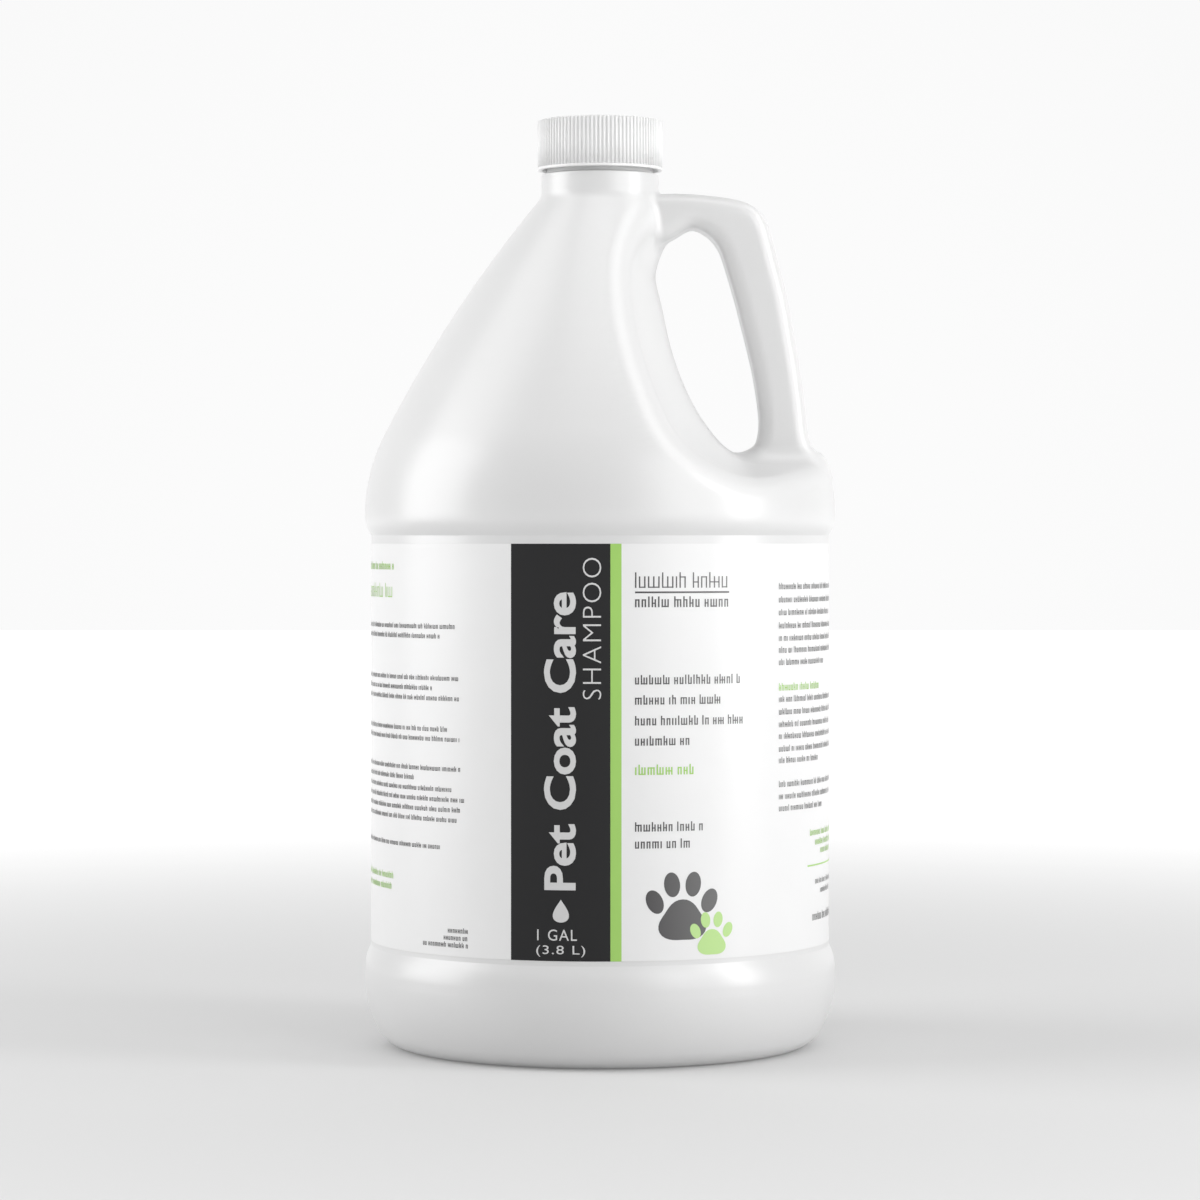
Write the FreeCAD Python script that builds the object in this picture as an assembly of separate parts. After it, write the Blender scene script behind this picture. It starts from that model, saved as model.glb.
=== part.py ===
"""A one-gallon round jug for pet shampoo: a blow-moulded bottle with a hollow grip handle, a ribbed screw
cap, the foam liner that seals it, and a wrap-around film label.

Millimetres, +Z up. The origin is the centre of the base, on the surface that the bottle stands on.
The handle is on the +X side, and the mould's parting plane is Y = 0.
"""

import FreeCAD, Part
import math
import os

from FreeCAD import Vector

# Body of revolution -------------------------------------------------------------------------------
WALL = 1.1  # blown wall
BODY_R = 77.7  # widest radius, at the heel and shoulder bands
PANEL_R = 75.6  # recessed label panel
PUSH_UP = 5.0  # height of the recessed middle of the base
PUSH_UP_R = 46.9  # its flat part
STEP_TURN = 42.0  # slope of the step from there to the standing ring
STEP_ROUND = 4.0
FOOT_ROUND = 10.2  # heel: a small arc off the standing ring, then a large one into the side
FOOT_TURN = 60.0
HEEL_ROUND = 34.7
HEEL_TOP = 22.4
LOW_BAND = 25.9  # the heel band curves in to the panel above this height
LOW_BAND_TURN = 31.3
HIGH_BAND = 174.4  # the shoulder band curves out from the panel up to this height
HIGH_BAND_TURN = 36.0
SHOULDER_LOW = 175.4
SHOULDER_ROUND = 56.1
SHOULDER_TURN = 27.0
SHOULDER_END = (20.7, 278.4)  # (radius, height) where the long arc of the shoulder stops
COLLAR_R = 19.5  # plain collar under the cap
COLLAR_TOP = 287.4

# Neck finish: 38 mm, six threads to the inch ------------------------------------------------------
PITCH = 25.4 / 6
NECK_ROOT_R = 17.6
NECK_CREST_R = 18.7
BORE_R = 15.6
RIM = 302.5
RIM_CHAMFER = 0.4
NECK_RIDGE = (2.3, 1.1)  # axial width at the root and at the crest
NECK_RIDGE_LOW = 293.0  # height of its middle where it starts
THREAD_TURNS = 1.5

# Cap and liner ------------------------------------------------------------------------------------
CAP_LOW = 288.8
CAP_TOP = 305.4
CAP_RIB_R = 20.7  # over the ribs
CAP_WALL_R = 20.2  # between the ribs
CAP_RIBS = 96
CAP_RIM_LOW = 0.9  # plain rims below and above the ribs
CAP_RIM_HIGH = 1.4
CAP_CHAMFER = 0.6
CAP_BORE_R = 18.95
CAP_CREST_R = 17.95
CAP_RIDGE = (1.5, 0.7)
RIDGE_APART = 1.54  # the ridge of the cap runs this far below the other, which leaves 0.28 between flanks
CAP_RIDGE_BACK = 0.25  # turns that it starts before the other
LINER_T = 1.2
LINER_R = 18.6

# Handle -------------------------------------------------------------------------------------------
GRIP_HALF = 11.7  # half its width across the parting plane
GRIP_ROUND = 4.7
# (x, z) of its outside edge and of its inside edge, station by station from the shoulder to the body
HANDLE = [((10.2, 280.1), (10.2, 262.1)), ((22.4, 280.7), (22.6, 265.4)), ((31.6, 280.4), (29.5, 269.3)),
          ((41.2, 279.4), (34.3, 268.1)), ((49.6, 277.1), (37.6, 265.2)), ((55.1, 271.1), (40.0, 261.1)),
          ((58.1, 260.1), (42.1, 254.6)), ((61.0, 249.4), (44.8, 245.3)), ((63.6, 236.1), (47.4, 235.1)),
          ((65.8, 222.9), (50.0, 223.4)), ((67.5, 210.6), (51.8, 211.7)), ((68.5, 201.5), (52.0, 203.5)),
          ((70.8, 196.2), (49.6, 198.9)), ((73.8, 192.8), (44.4, 196.9)), ((72.6, 184.6), (42.8, 185.6))]

# The shoulder is cut away beside the handle, up to a leaning wall. (x, z) along that wall where it
# passes the finger hole, and along it again at POCKET_Y, from the neck down and out to the side.
POCKET_Y = 79.6
POCKET_MIDDLE = [(28.6, 295.8), (26.1, 273.4), (19.1, 256.0), (20.0, 245.8), (23.7, 229.5), (30.0, 213.2),
                 (36.7, 202.6), (44.9, 196.5), (61.2, 194.4), (97.9, 193.8)]
POCKET_FRONT = [(-12.2, 295.8), (-14.3, 273.4), (-6.1, 259.1), (-2.0, 243.8), (6.6, 223.4), (15.8, 205.5),
                (26.5, 192.4), (44.9, 182.8), (61.2, 181.1), (97.9, 180.0)]

# Label --------------------------------------------------------------------------------------------
LABEL_LOW = 34.9
LABEL_HIGH = 165.4
FILM_T = 0.12
SEAM_LAP = 8.0  # its end laps its start by this much, at the back


class Outline:
    """A line drawn in (radius, height) from where the pen stands, with the solid on its left.

    With an inset, everything is drawn that far to the left of where the pen goes.
    """

    def __init__(self, r, z, heading=0.0, inset=0.0):
        self.r, self.z, self.heading, self.inset, self.edges = r, z, math.radians(heading), inset, []

    def here(self):
        left = self.heading + math.pi / 2
        return Vector(self.r + self.inset * math.cos(left), 0, self.z + self.inset * math.sin(left))

    def line(self, r, z):
        if math.hypot(r - self.r, z - self.z) > 1e-6:
            self.heading = math.atan2(z - self.z, r - self.r)
            start, self.r, self.z = self.here(), r, z
            self.edges.append(Part.LineSegment(start, self.here()).toShape())
        return self

    def arc(self, radius, turn):
        """A tangent arc to the left, or to the right where turn is negative. Radius 0 is a corner."""
        side = math.copysign(math.pi / 2, turn)
        cr = self.r + radius * math.cos(self.heading + side)
        cz = self.z + radius * math.sin(self.heading + side)
        first, last = self.heading, self.heading + math.radians(turn)
        points = []
        for self.heading in (first, (first + last) / 2, last):
            self.r = cr - radius * math.cos(self.heading + side)
            self.z = cz - radius * math.sin(self.heading + side)
            points.append(self.here())
        if (points[0] - points[2]).Length > 1e-6:
            self.edges.append(Part.Arc(*points).toShape())
        return self

    def arc_to(self, r, z):
        """The tangent arc that ends at that point."""
        chord = math.atan2(z - self.z, r - self.r)
        turn = math.remainder(2 * (chord - self.heading), 2 * math.pi)
        return self.arc(math.hypot(r - self.r, z - self.z) / (2 * abs(math.sin(turn / 2))), math.degrees(turn))

    def upright_at(self, r):
        """The tangent arc that ends upright at that radius, which is where it is drawn."""
        turn = self.heading - math.pi / 2
        start = self.here()
        self.r, self.z, self.inset = start.x, start.z, 0.0
        return self.arc((self.r - r) / (1 - math.cos(turn)), -math.degrees(turn))

    def revolve(self):
        """The solid of revolution between this line and the axis."""
        start, end = self.edges[0].Vertexes[0].Point, self.edges[-1].Vertexes[-1].Point
        edges = self.edges
        if start.distanceToPoint(end) > 1e-6:
            edges = edges + [Part.LineSegment(end, start).toShape()]
        return Part.Face(Part.Wire(edges)).revolve(Vector(), Vector(0, 0, 1), 360)


def shift(points, distance):
    """The points of a plane line moved square to it, to the left of the way it runs."""
    moved = []
    for i, (x, z) in enumerate(points):
        (xa, za), (xb, zb) = points[max(i - 1, 0)], points[min(i + 1, len(points) - 1)]
        length = math.hypot(xb - xa, zb - za)
        moved.append((x - distance * (zb - za) / length, z + distance * (xb - xa) / length))
    return moved


def spline(points, y):
    curve = Part.BSplineCurve()
    share = [i / (len(points) - 1) for i in range(len(points))]
    curve.interpolate(Points=[Vector(x, y, z) for x, z in points], Parameters=share)
    return curve.toShape()


def closed(parts, y):
    """A closed wire of the given edges, joined end to end by straight lines through any loose points."""
    edges, corners = [], []
    for part in parts + parts[:1]:
        if isinstance(part, tuple):
            corners.append(Vector(part[0], y, part[1]))
            continue
        for a, b in zip(corners, corners[1:] + [part.Vertexes[0].Point]):
            edges.append(Part.LineSegment(a, b).toShape())
        corners = [part.Vertexes[-1].Point]
        edges.append(part)
    return Part.Wire(edges[:-1])


def jug(inset):
    """The body of revolution. With an inset, the space inside it, out through the neck."""
    step = math.radians(STEP_TURN)
    pen = Outline(0, PUSH_UP, inset=inset).line(PUSH_UP_R, PUSH_UP).arc(STEP_ROUND, -STEP_TURN)
    drop = pen.z - STEP_ROUND * (1 - math.cos(step))
    pen.line(pen.r + drop / math.tan(step), pen.z - drop).arc(STEP_ROUND, STEP_TURN)
    foot, heel = math.radians(FOOT_TURN), HEEL_ROUND
    run = FOOT_ROUND * math.sin(foot) + heel * (1 - math.sin(foot))
    pen.line(BODY_R - run, 0).arc(FOOT_ROUND, FOOT_TURN).arc(heel, 90 - FOOT_TURN).line(BODY_R, LOW_BAND)
    depth = BODY_R - PANEL_R
    pen.arc(depth / (1 - math.cos(math.radians(LOW_BAND_TURN))), LOW_BAND_TURN).arc(0, -LOW_BAND_TURN)
    turn = math.radians(HIGH_BAND_TURN)
    bulge = depth / (1 - math.cos(turn))
    pen.line(PANEL_R, HIGH_BAND - bulge * math.sin(turn)).arc(0, -HIGH_BAND_TURN).arc(bulge, HIGH_BAND_TURN)
    pen.line(BODY_R, SHOULDER_LOW).arc(SHOULDER_ROUND, SHOULDER_TURN).arc_to(*SHOULDER_END)
    if inset:
        return pen.upright_at(BORE_R).line(BORE_R, RIM + 5).line(0, RIM + 5).revolve()
    pen.upright_at(COLLAR_R).line(COLLAR_R, COLLAR_TOP).line(NECK_ROOT_R, COLLAR_TOP)
    return pen.line(NECK_ROOT_R, RIM - RIM_CHAMFER).line(NECK_ROOT_R - RIM_CHAMFER, RIM).line(0, RIM).revolve()


def pocket(inset):
    """What is cut away beside the handle, as two halves that meet at the parting plane."""
    wires = []
    for points, y in ((POCKET_MIDDLE, 0), (POCKET_FRONT, -POCKET_Y)):
        edge = spline(shift(points, -inset), y)
        wires.append(closed([edge, (POCKET_MIDDLE[-1][0] + inset, POCKET_MIDDLE[0][1] + inset)], y))
    half = Part.makeLoft(wires, True, True)
    return [half, half.mirror(Vector(), Vector(0, 1, 0))]


def handle(inset):
    """The arm and grip, or with an inset the hollow in them, as a loft through its rounded sections."""
    wires = []
    for (xa, za), (xb, zb) in HANDLE:
        out = Vector(xa - xb, 0, za - zb)
        half, middle = out.Length / 2 - inset, Vector(xa + xb, 0, za + zb) / 2
        out.normalize()
        edges, last = [], None
        for i in range(4):
            across, deep = (1, -1, -1, 1)[i], (1, 1, -1, -1)[i]
            corner = Vector(middle) + out * (across * (half - GRIP_ROUND + inset))
            corner.y = deep * (GRIP_HALF - GRIP_ROUND)
            arms = [out * (across * (GRIP_ROUND - inset)), Vector(0, deep * (GRIP_ROUND - inset), 0)]
            if i % 2:
                arms.reverse()
            bend = [corner + arms[0], corner + (arms[0] + arms[1]) * math.sqrt(0.5), corner + arms[1]]
            if last:
                edges.append(Part.LineSegment(last, bend[0]).toShape())
            edges.append(Part.Arc(*bend).toShape())
            last = bend[2]
        edges.append(Part.LineSegment(last, edges[0].Vertexes[0].Point).toShape())
        wires.append(Part.Wire(edges))
    return Part.makeLoft(wires, True, False)


def ridge(root_r, crest_r, widths, low):
    """A thread's ridge round the axis, its root sunk a little into the wall that carries it.

    Its middle is at that height where it crosses the +X side, or goes on from there at the same pitch.
    """
    sunk = math.copysign(0.3, root_r - crest_r)
    foot = widths[0] + 0.3 * (widths[0] - widths[1]) / abs(crest_r - root_r)
    corners = [(root_r + sunk, -foot / 2), (crest_r, -widths[1] / 2), (crest_r, widths[1] / 2),
               (root_r + sunk, foot / 2)]
    points = [Vector(r, 0, z) for r, z in corners]
    path = Part.Wire(Part.makeHelix(PITCH, PITCH * THREAD_TURNS, root_r))
    solid = path.makePipeShell([Part.makePolygon(points + points[:1])], True, True)
    return solid.translated(Vector(0, 0, low))


def bottle():
    outer = jug(0).cut(pocket(0)).fuse(handle(0))
    hollow = jug(WALL).cut(pocket(WALL)).fuse(handle(WALL))
    shell = outer.cut(hollow)
    return shell.fuse(ridge(NECK_ROOT_R, NECK_CREST_R, NECK_RIDGE, NECK_RIDGE_LOW))


def cap():
    step = 2 * math.pi / CAP_RIBS
    corners = []
    for i in range(CAP_RIBS):
        for share, r in ((-0.36, CAP_WALL_R), (-0.16, CAP_RIB_R), (0.16, CAP_RIB_R), (0.36, CAP_WALL_R)):
            a = (i + share) * step
            corners.append(Vector(r * math.cos(a), r * math.sin(a), CAP_LOW))
    ribbed = Part.Face(Part.makePolygon(corners + corners[:1])).extrude(Vector(0, 0, CAP_TOP - CAP_LOW - 0.5))
    low = Part.makeCylinder(CAP_RIB_R, CAP_RIM_LOW, Vector(0, 0, CAP_LOW))
    high = Part.makeCylinder(CAP_RIB_R, CAP_RIM_HIGH - CAP_CHAMFER, Vector(0, 0, CAP_TOP - CAP_RIM_HIGH))
    edge = Part.makeCone(CAP_RIB_R, CAP_RIB_R - CAP_CHAMFER, CAP_CHAMFER, Vector(0, 0, CAP_TOP - CAP_CHAMFER))
    bore = Part.makeCylinder(CAP_BORE_R, RIM + LINER_T - CAP_LOW, Vector(0, 0, CAP_LOW))
    body = ribbed.fuse([low, high, edge]).cut(bore)
    thread = ridge(CAP_BORE_R, CAP_CREST_R, CAP_RIDGE, NECK_RIDGE_LOW - RIDGE_APART - PITCH * CAP_RIDGE_BACK)
    thread.rotate(Vector(), Vector(0, 0, 1), -360 * CAP_RIDGE_BACK)
    return body.fuse(thread)


def liner():
    return Part.makeCylinder(LINER_R, LINER_T, Vector(0, 0, RIM))


def label():
    height = LABEL_HIGH - LABEL_LOW
    sleeve = Part.makeCylinder(PANEL_R + FILM_T, height, Vector(0, 0, LABEL_LOW))
    lap = Part.makeCylinder(PANEL_R + 2 * FILM_T, height, Vector(0, 0, LABEL_LOW), Vector(0, 0, 1),
                            math.degrees(SEAM_LAP / PANEL_R))
    lap.rotate(Vector(), Vector(0, 0, 1), 90)
    return sleeve.fuse(lap).cut(Part.makeCylinder(PANEL_R, height, Vector(0, 0, LABEL_LOW)))


os.makedirs("parts", exist_ok=True)
for name, shape in (("bottle", bottle()), ("cap", cap()), ("cap_liner", liner()), ("wrap_label", label())):
    shape.Solids[0].exportStep(f"parts/{name}.step")
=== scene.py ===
"""A one-gallon jug of pet shampoo: blow-moulded bottle, ribbed screw cap, foam liner and printed wrap label.

Lengths are in metres, and in millimetres inside the code that builds a shape.
"""

import math

import bmesh
import bpy
import numpy as np
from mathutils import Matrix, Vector


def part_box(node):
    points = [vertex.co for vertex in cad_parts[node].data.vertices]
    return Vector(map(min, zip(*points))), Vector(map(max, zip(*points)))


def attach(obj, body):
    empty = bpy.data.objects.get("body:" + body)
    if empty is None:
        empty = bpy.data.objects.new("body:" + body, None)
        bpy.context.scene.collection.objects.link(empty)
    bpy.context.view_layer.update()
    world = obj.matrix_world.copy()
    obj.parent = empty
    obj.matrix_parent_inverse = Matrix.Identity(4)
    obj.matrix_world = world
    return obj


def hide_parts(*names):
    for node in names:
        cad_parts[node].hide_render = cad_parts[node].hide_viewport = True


bl_info = {
    "name": "Shampoo jug",
    "version": (1, 0, 0),
    "blender": (4, 5, 0),
    "location": "3D View > Sidebar > Jug",
    "description": "Builds a blow-moulded shampoo jug with its cap, liner and printed label",
    "category": "Add Mesh",
}

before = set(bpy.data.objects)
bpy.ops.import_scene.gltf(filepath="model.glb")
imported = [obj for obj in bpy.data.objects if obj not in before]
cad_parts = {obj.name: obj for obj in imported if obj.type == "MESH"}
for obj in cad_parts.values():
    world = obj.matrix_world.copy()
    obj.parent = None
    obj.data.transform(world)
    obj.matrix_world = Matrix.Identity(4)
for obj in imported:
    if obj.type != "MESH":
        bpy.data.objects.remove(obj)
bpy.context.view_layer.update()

MM = 0.001


def top_of(node):
    """The height of a part's top, in millimetres."""
    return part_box(node)[1][2] / MM


def bottom_of(node):
    """The height of a part's underside, in millimetres."""
    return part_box(node)[0][2] / MM


def radius_of(node):
    """The largest radius of a round part, in millimetres."""
    return -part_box(node)[0][0] / MM


# Curves and distances, in millimetres ---------------------------------------------------------------


class Outline:
    """Points along a line drawn in (radius, height), with the solid on its left.

    With an inset, everything is drawn that far to the left of where the pen goes.
    """

    def __init__(self, r, z, inset=0.0, step=6.0):
        self.r, self.z, self.heading, self.inset, self.step = r, z, 0.0, inset, step
        self.points = []
        self.dot()

    def dot(self):
        """Marks the pen's place, moved by the inset."""
        left = self.heading + math.pi / 2
        here = (self.r + self.inset * math.cos(left), self.z + self.inset * math.sin(left))
        if not self.points or math.dist(here, self.points[-1]) > 1e-4:
            self.points.append(here)

    def line(self, r, z, edges=0.5):
        """A straight run, with points just inside its ends that keep the shading off the next run."""
        length = math.dist((r, z), (self.r, self.z))
        if length > 1e-6:
            self.heading = math.atan2(z - self.z, r - self.r)
            start = (self.r, self.z)
            shares = [0.0, 1.0] if length < 4 * edges else [0.0, edges / length, 1 - edges / length, 1.0]
            for share in shares:
                self.r, self.z = start[0] + share * (r - start[0]), start[1] + share * (z - start[1])
                self.dot()
        return self

    def arc(self, radius, turn):
        """A tangent arc to the left, or to the right where turn is negative."""
        side = math.copysign(math.pi / 2, turn)
        cr = self.r + radius * math.cos(self.heading + side)
        cz = self.z + radius * math.sin(self.heading + side)
        first = self.heading
        count = max(2, math.ceil(abs(turn) / self.step), math.ceil(math.radians(abs(turn)) * radius / 8))
        for i in range(count + 1):
            self.heading = first + math.radians(turn) * i / count
            self.r = cr - radius * math.cos(self.heading + side)
            self.z = cz - radius * math.sin(self.heading + side)
            self.dot()
        return self

    def arc_to(self, r, z):
        """The tangent arc that ends at that point."""
        chord = math.atan2(z - self.z, r - self.r)
        turn = math.remainder(2 * (chord - self.heading), 2 * math.pi)
        return self.arc(math.dist((r, z), (self.r, self.z)) / (2 * abs(math.sin(turn / 2))), math.degrees(turn))

    def upright_at(self, r):
        """The tangent arc that ends upright at that radius, which is where it is drawn."""
        turn = self.heading - math.pi / 2
        (self.r, self.z), self.inset = self.points[-1], 0.0
        return self.arc((self.r - r) / (1 - math.cos(turn)), -math.degrees(turn))


def full_circle(count):
    """Angles evenly round a full turn."""
    return np.linspace(0, 2 * math.pi, count + 1)[:-1]


def smooth_line(points, per):
    """A natural cubic curve through the points, with that many steps between neighbours."""
    p = np.array(points, float)
    n = len(p)
    rows = np.eye(n)
    for i in range(1, n - 1):
        rows[i, i - 1:i + 2] = 1, 4, 1
    bends = np.zeros_like(p)
    bends[1:-1] = 6 * (p[2:] - 2 * p[1:-1] + p[:-2])
    bends = np.linalg.solve(rows, bends)
    t = np.linspace(0, n - 1, (n - 1) * per + 1)
    i = np.minimum(t.astype(int), n - 2)
    b = (t - i)[:, None]
    a = 1 - b
    return a * p[i] + b * p[i + 1] + ((a**3 - a) * bends[i] + (b**3 - b) * bends[i + 1]) / 6


def side_distance(u, v, line, lean=None, share=None):
    """Signed distance from points (u, v) to a line, negative on its left.

    With lean, each point meets the line moved towards lean by its own share.
    """
    out = np.empty(len(u))
    for low in range(0, len(u), 8000):
        block = slice(low, low + 8000)
        line_u, line_v = line[None, :, 0], line[None, :, 1]
        if lean is not None:
            s = share[block, None]
            line_u = line_u + s * (lean[None, :, 0] - line_u)
            line_v = line_v + s * (lean[None, :, 1] - line_v)
        du, dv = np.diff(line_u), np.diff(line_v)
        gu, gv = u[block, None] - line_u[:, :-1], v[block, None] - line_v[:, :-1]
        t = np.clip((gu * du + gv * dv) / (du * du + dv * dv), 0, 1)
        gu, gv = gu - t * du, gv - t * dv
        square = gu * gu + gv * gv
        best = (np.arange(len(gu)), square.argmin(1))
        turn = (du * gv - dv * gu)[best]
        out[block] = np.sqrt(square[best]) * np.where(turn > 0, -1, 1)
    return out


def round_max(a, b, r):
    """Where both hold, with the edge between them rounded."""
    return np.minimum(np.maximum(a, b), -r) + np.hypot(np.maximum(a + r, 0), np.maximum(b + r, 0))


# The jug's shape ------------------------------------------------------------------------------------

WALL = 1.1
BODY_R = radius_of("bottle")
PANEL_R = BODY_R - 2.1
RIM = top_of("bottle")

# the raised middle of the base: its height, its radius, its rounded edges and the slope between them
BASE_RISE, BASE_RISE_R, BASE_EDGE, BASE_SLOPE = 5.0, 46.9, 4.0, 42
# the heel: the radius and turn of its lower arc, the radius of its upper one, and its top
HEEL_LOW, HEEL_TURN, HEEL_HIGH, HEEL_TOP = 10.2, 60, 34.7, 25.9
# the steps down to the label's panel: how steep the lower and upper ones are, their crease, the panel's top
LOW_STEP, HIGH_STEP, CREASE, PANEL_TOP = 31.3, 36.0, 0.4, 174.4
# the shoulder: where it starts, the radius and turn of its first arc, and the end of its long arc
SHOULDER_LOW, SHOULDER_R, SHOULDER_TURN, SHOULDER_END = 175.4, 56.1, 27, (20.7, 278.4)

COLLAR_R, COLLAR_TOP = 19.5, 287.4
NECK_FOOT_R, NECK_ROOT_R, BORE_R = 18.2, 17.6, 15.6
NECK_ROUND = 0.5  # the rounding of the neck's rim
CAP_BORE_R, CAP_WALL_R, CAP_FOOT_R = 18.95, 20.2, 20.7
RIBS_FROM_FOOT, RIBS_FROM_TOP = 0.85, 0.28  # what the ribs leave bare
PITCH = 25.4 / 6
RING_GAP = 0.5  # between the rings that carry a thread
# threads: where the ridge starts, its turns, its width at root and crest, and its height
NECK_THREAD = (293.0, 1.5, (2.5, 0.9), 1.1)
CAP_THREAD = (290.402, 1.5, (1.7, 0.6), 1.0)
THREAD_FADE = 0.07  # the share of a turn over which a ridge rises at its ends

NET_LOW, NET_HIGH = 174.35, 284.75  # the shoulder and handle are netted between these heights
NET_CORE_R = 13.0  # nothing is netted closer to the axis than this
# nets: planes on the handle's side and on the other side, and the spacing outwards and upwards
OUTER_NET, INNER_NET = (104, 36, 1.15, 1.35), (46, 18, 1.6, 3.3)
HANDLE_OUTSIDE = [(10.2, 280.1), (22.4, 280.7), (31.6, 280.4), (41.2, 279.4), (49.6, 277.1), (55.1, 271.1),
                  (58.1, 260.1), (61.0, 249.4), (63.6, 236.1), (65.8, 222.9), (67.5, 210.6), (68.5, 201.5),
                  (70.8, 196.2), (73.8, 192.8), (72.6, 184.6)]
HANDLE_INSIDE = [(10.2, 262.1), (22.6, 265.4), (29.5, 269.3), (34.3, 268.1), (37.6, 265.2), (40.0, 261.1),
                 (42.1, 254.6), (44.8, 245.3), (47.4, 235.1), (50.2, 223.4), (52.2, 211.7), (52.7, 203.8),
                 (51.2, 197.6), (48.2, 193.0), (46.6, 185.6)]
GRIP_HALF, GRIP_EDGE = 11.7, 4.9  # half the handle's depth, and how round its edges are
GRIP_BLEND = ([196, 214, 250, 262], [6.0, 4.2, 2.6, 2.0])  # heights, and how softly it joins the jug there
# the recess beside the handle: its middle line, its line at POCKET_Y in front, its slope, edge and rounded fold
POCKET_Y, POCKET_SLOPE, POCKET_EDGE, POCKET_FOLD = 79.6, 0.97, 6.5, 2.5
POCKET_MIDDLE = [(28.6, 295.8), (25.0, 273.4), (18.8, 256.6), (20.0, 245.8), (23.7, 229.5), (30.0, 213.2),
                 (36.7, 202.6), (44.9, 195.2), (61.2, 193.6), (97.9, 193.2)]
POCKET_FRONT = [(-12.2, 295.8), (-14.3, 273.4), (-6.1, 259.1), (-2.0, 243.8), (6.6, 223.4), (15.8, 205.5),
                (26.5, 192.4), (44.9, 182.8), (61.2, 181.1), (97.9, 180.0)]


def step_bend(turn):
    """The radii of a step's two arcs together, where it turns that far between body and panel."""
    return (BODY_R - PANEL_R) / (1 - math.cos(math.radians(turn)))


def body_outline(inset, step=6.0):
    """The body's outline from the middle of the base to the end of the shoulder's long arc."""
    pen = Outline(0, BASE_RISE, inset, step)
    pen.line(BASE_RISE_R, BASE_RISE).arc(BASE_EDGE, -BASE_SLOPE)
    slope = math.radians(BASE_SLOPE)
    fall = pen.z - BASE_EDGE * (1 - math.cos(slope))
    pen.line(pen.r + fall / math.tan(slope), pen.z - fall).arc(BASE_EDGE, BASE_SLOPE)
    steep = math.sin(math.radians(HEEL_TURN))
    run = HEEL_LOW * steep + HEEL_HIGH * (1 - steep)
    pen.line(BODY_R - run, 0).arc(HEEL_LOW, HEEL_TURN).arc(HEEL_HIGH, 90 - HEEL_TURN).line(BODY_R, HEEL_TOP)
    low, high = step_bend(LOW_STEP), step_bend(HIGH_STEP)
    pen.arc(low - CREASE, LOW_STEP).arc(CREASE, -LOW_STEP)
    pen.line(PANEL_R, PANEL_TOP - high * math.sin(math.radians(HIGH_STEP)))
    pen.arc(CREASE, -HIGH_STEP).arc(high - CREASE, HIGH_STEP)
    return pen.line(BODY_R, SHOULDER_LOW).arc(SHOULDER_R, SHOULDER_TURN).arc_to(*SHOULDER_END)


def shape_lines(inset, per):
    """The lines that the netted part of the jug's skin is worked out from."""
    neck_r = BORE_R if inset else COLLAR_R
    pen = body_outline(inset, 6.0 / per).upright_at(neck_r).line(neck_r, RIM + 20)
    inside, outside = smooth_line(HANDLE_INSIDE, per), smooth_line(HANDLE_OUTSIDE, per)
    loop = np.vstack([inside, outside[::-1], inside[:1]])
    return np.array(pen.points), loop, smooth_line(POCKET_MIDDLE, 2 * per), smooth_line(POCKET_FRONT, 2 * per)


def skin_field(p, lines, inset):
    """How far points are outside the skin, with its edges and joins rounded as blowing rounds them."""
    outline, loop, middle, front = lines
    x, z = p[:, 0], p[:, 2]
    y = np.sqrt(p[:, 1] ** 2 + POCKET_FOLD**2) - POCKET_FOLD
    field = side_distance(np.hypot(x, p[:, 1]), z, outline)
    near = x > -20
    wall = side_distance(x[near], z[near], middle, front, y[near] / POCKET_Y)
    field[near] = round_max(field[near], inset - POCKET_SLOPE * wall, POCKET_EDGE - inset)
    near = (x > 9) & (np.abs(p[:, 1]) < 24) & (z > 186) & (z < 292)  # all of the handle is in here
    plate = side_distance(x[near], z[near], loop) + GRIP_EDGE
    side = np.abs(p[near, 1]) - (GRIP_HALF - GRIP_EDGE)
    grip = np.minimum(np.maximum(plate, side), 0) + np.hypot(np.maximum(plate, 0), np.maximum(side, 0))
    grip += inset - GRIP_EDGE
    blend = np.interp(z[near], *GRIP_BLEND)
    field[near] = -round_max(-field[near], -grip, blend)
    return field


def half_circle(fine, coarse, split=75):
    """Planes from 0 to pi, closer together on the side that has the handle."""
    near, far = np.linspace(0, split, fine + 1)[:-1], np.linspace(split, 180, coarse + 1)
    return np.radians(np.concatenate([near, far]))


CORNERS = [(i, j, k) for i in (0, 1) for j in (0, 1) for k in (0, 1)]


def cell_points(field, cells):
    """A point for each cell that the skin passes: the middle of its crossings with the cell's edges."""
    total, count = np.zeros((len(cells), 3)), np.zeros(len(cells))
    for start in CORNERS:
        for axis in range(3):
            if start[axis]:
                continue
            end = list(start)
            end[axis] = 1
            f0, f1 = field[tuple((cells + start).T)], field[tuple((cells + end).T)]
            crosses = (f0 < 0) != (f1 < 0)
            at = np.tile(np.array(start, float), (len(cells), 1))
            at[:, axis] = np.where(crosses, f0 / np.where(crosses, f0 - f1, 1), 0)
            total += at * crosses[:, None]
            count += crosses
    return cells + total / count[:, None]


def settle(points, lines, inset, nudge=0.05):
    """The points moved onto the skin, along its slope."""
    for _ in range(2):
        value = skin_field(points, lines, inset)
        beside = [skin_field(points + step, lines, inset) for step in np.eye(3) * nudge]
        slope = (np.stack(beside, -1) - value[:, None]) / nudge
        points = points - np.clip(value, -1, 1)[:, None] * slope / np.maximum((slope**2).sum(1), 0.3)[:, None]
    return points


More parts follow.
